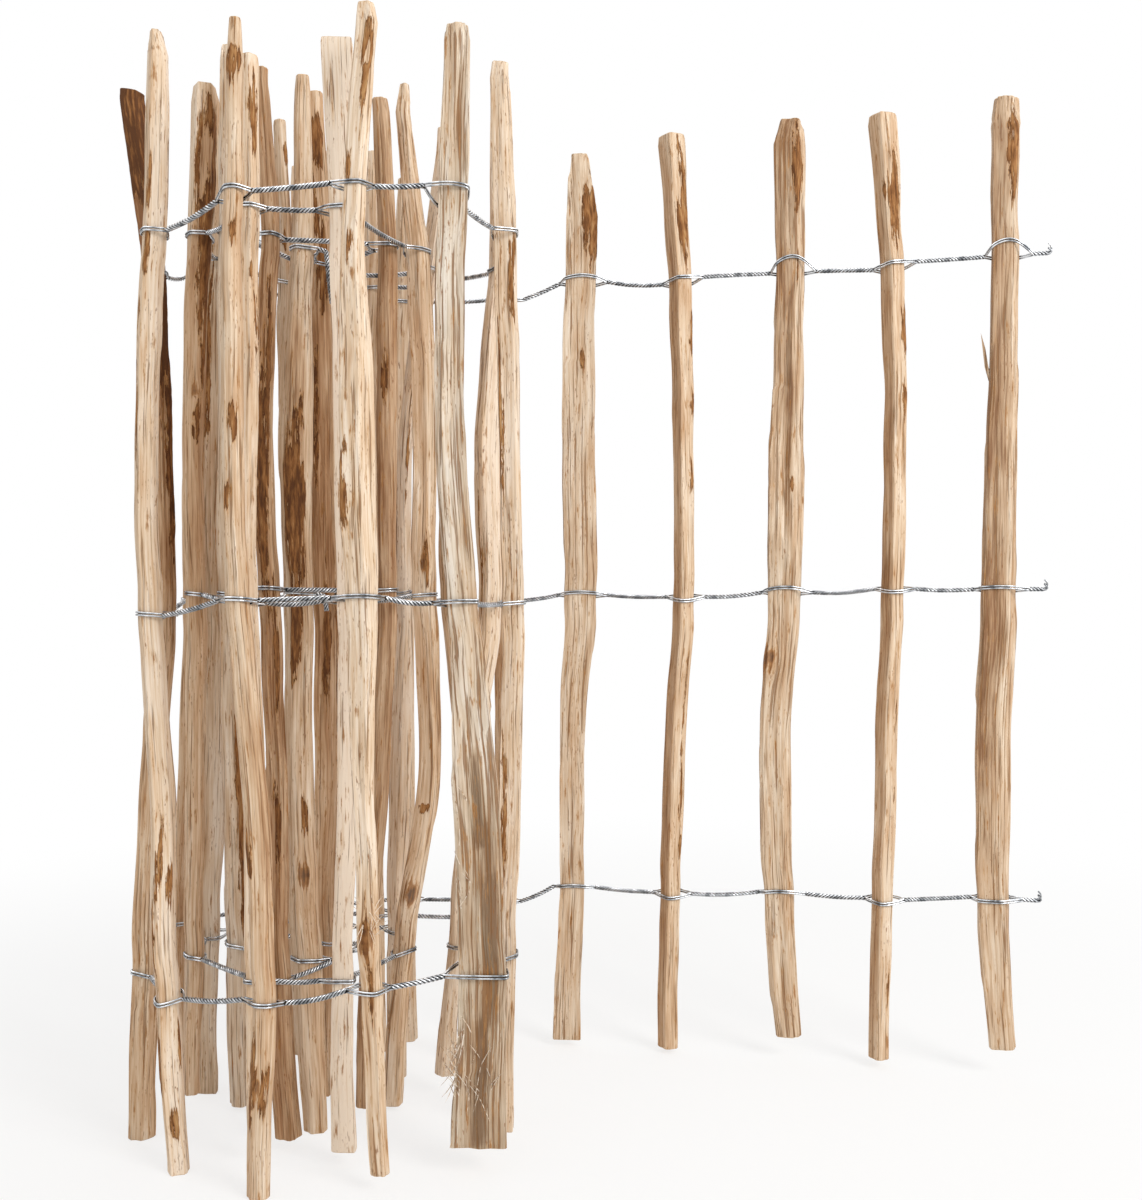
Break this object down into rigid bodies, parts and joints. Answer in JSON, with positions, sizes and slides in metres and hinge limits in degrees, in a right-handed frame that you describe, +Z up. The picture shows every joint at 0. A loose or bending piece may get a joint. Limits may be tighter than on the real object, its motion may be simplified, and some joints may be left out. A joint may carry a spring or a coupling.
{
  "type": "roll of paling fence",
  "caption": "Cleft-wood paling fence held by three lines of twisted galvanised wire, rolled up with one end unrolled, standing on its pales.",
  "frame": {"origin": "middle of the footprint's bounding box, on the ground that the pales stand on", "axes": "+Z up along the pales, +X along the unrolled stretch to its free end, +Y towards the back"},
  "size_m": [0.875, 0.3468, 0.941],
  "materials": {
    "cleft_wood": "raw cleft wood with strips of bark",
    "galvanised_wire": "bright zinc coating"
  },
  "bodies": {
    "root": {"pale_01": "cleft_wood", "pale_02": "cleft_wood", "pale_03": "cleft_wood", "pale_04": "cleft_wood", "pale_05": "cleft_wood", "pale_06": "cleft_wood", "pale_07": "cleft_wood", "pale_08": "cleft_wood", "pale_09": "cleft_wood", "pale_10": "cleft_wood", "pale_11": "cleft_wood", "pale_12": "cleft_wood", "pale_13": "cleft_wood", "pale_14": "cleft_wood", "pale_15": "cleft_wood", "pale_16": "cleft_wood", "pale_17": "cleft_wood", "pale_18": "cleft_wood", "pale_19": "cleft_wood", "pale_20": "cleft_wood", "pale_21": "cleft_wood", "pale_22": "cleft_wood", "pale_23": "cleft_wood", "pale_24": "cleft_wood", "pale_25": "cleft_wood", "pale_26": "cleft_wood", "pale_27": "cleft_wood", "pale_28": "cleft_wood", "pale_29": "cleft_wood", "pale_30": "cleft_wood", "pale_31": "cleft_wood", "low_wires_inner": "galvanised_wire", "low_wires_outer": "galvanised_wire", "middle_wires_inner": "galvanised_wire", "middle_wires_outer": "galvanised_wire", "top_wires_inner": "galvanised_wire", "top_wires_outer": "galvanised_wire"}
  },
  "joints": []
}
